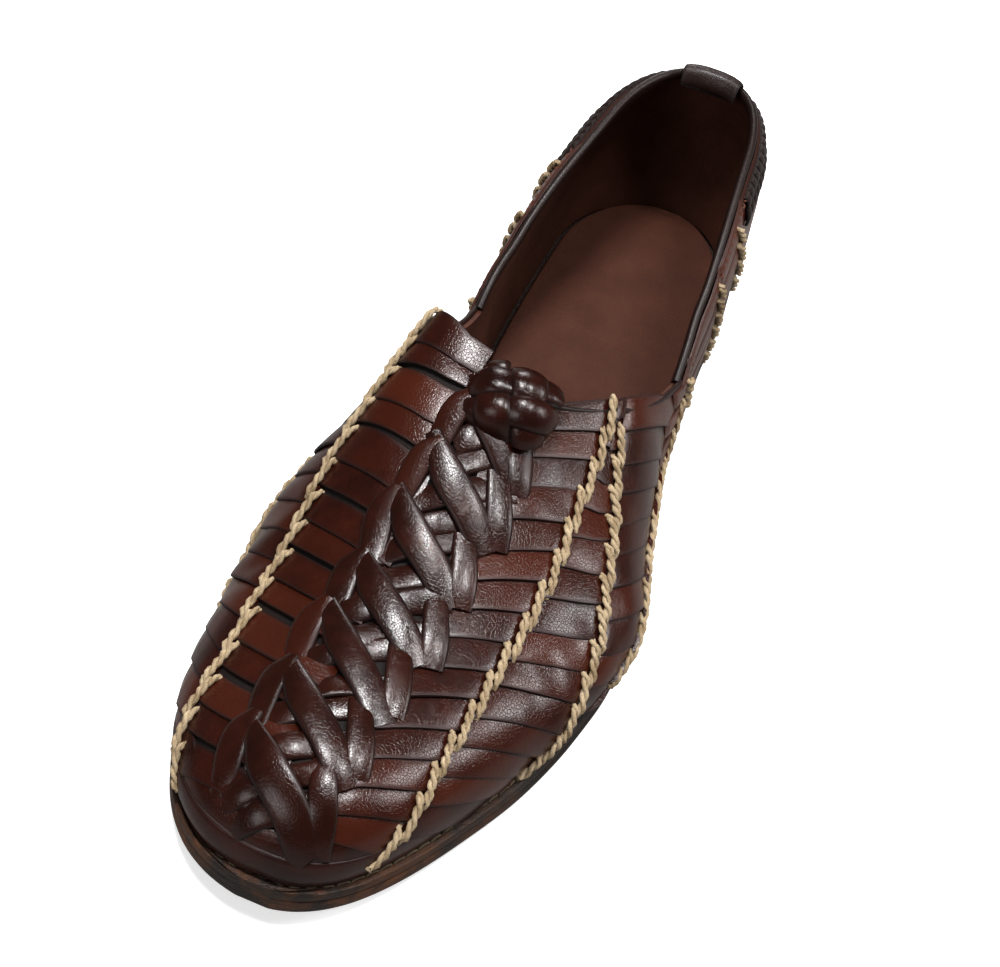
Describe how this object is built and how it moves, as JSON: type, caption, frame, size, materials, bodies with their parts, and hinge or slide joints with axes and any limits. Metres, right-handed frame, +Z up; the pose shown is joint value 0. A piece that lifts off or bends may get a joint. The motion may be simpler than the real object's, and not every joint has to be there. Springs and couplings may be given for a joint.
{
  "type": "woven leather huarache sandal",
  "caption": "Closed-toe woven leather huarache slip-on for the left foot, with a braided vamp, hemp cord rows, a slit counter and a low stitched leather sole.",
  "frame": {"origin": "middle of the shoe's footprint on the floor that it stands on", "axes": "+X from heel to toe, +Y to the outer side of the left foot, +Z up"},
  "size_m": [0.2904, 0.1106, 0.0827],
  "materials": {
    "strap_leather": "glossy waxed oxblood calf, darker in the creases",
    "edge_leather": "dark brown leather, semi-gloss",
    "sole_leather": "dark burnished sole leather, worn orange at the edge",
    "insole_leather": "reddish brown lining leather, matt",
    "hemp_cord": "two-strand waxed hemp cord, matt"
  },
  "bodies": {
    "root": {"top_lift": "sole_leather", "heel_block": "sole_leather", "outsole": "sole_leather", "midsole": "sole_leather", "insole": "insole_leather", "upper": "strap_leather", "throat_knot": "strap_leather", "collar_binding": "edge_leather", "heel_band": "edge_leather", "backstay": "edge_leather", "vamp_row_1_inner": "hemp_cord", "vamp_row_2_inner": "hemp_cord", "parting_inner": "hemp_cord", "column_front_inner": "hemp_cord", "column_middle_inner": "hemp_cord", "column_rear_inner": "hemp_cord", "vamp_row_1_outer": "hemp_cord", "vamp_row_2_outer": "hemp_cord", "parting_outer": "hemp_cord", "column_front_outer": "hemp_cord", "column_middle_outer": "hemp_cord", "column_rear_outer": "hemp_cord"}
  },
  "joints": []
}
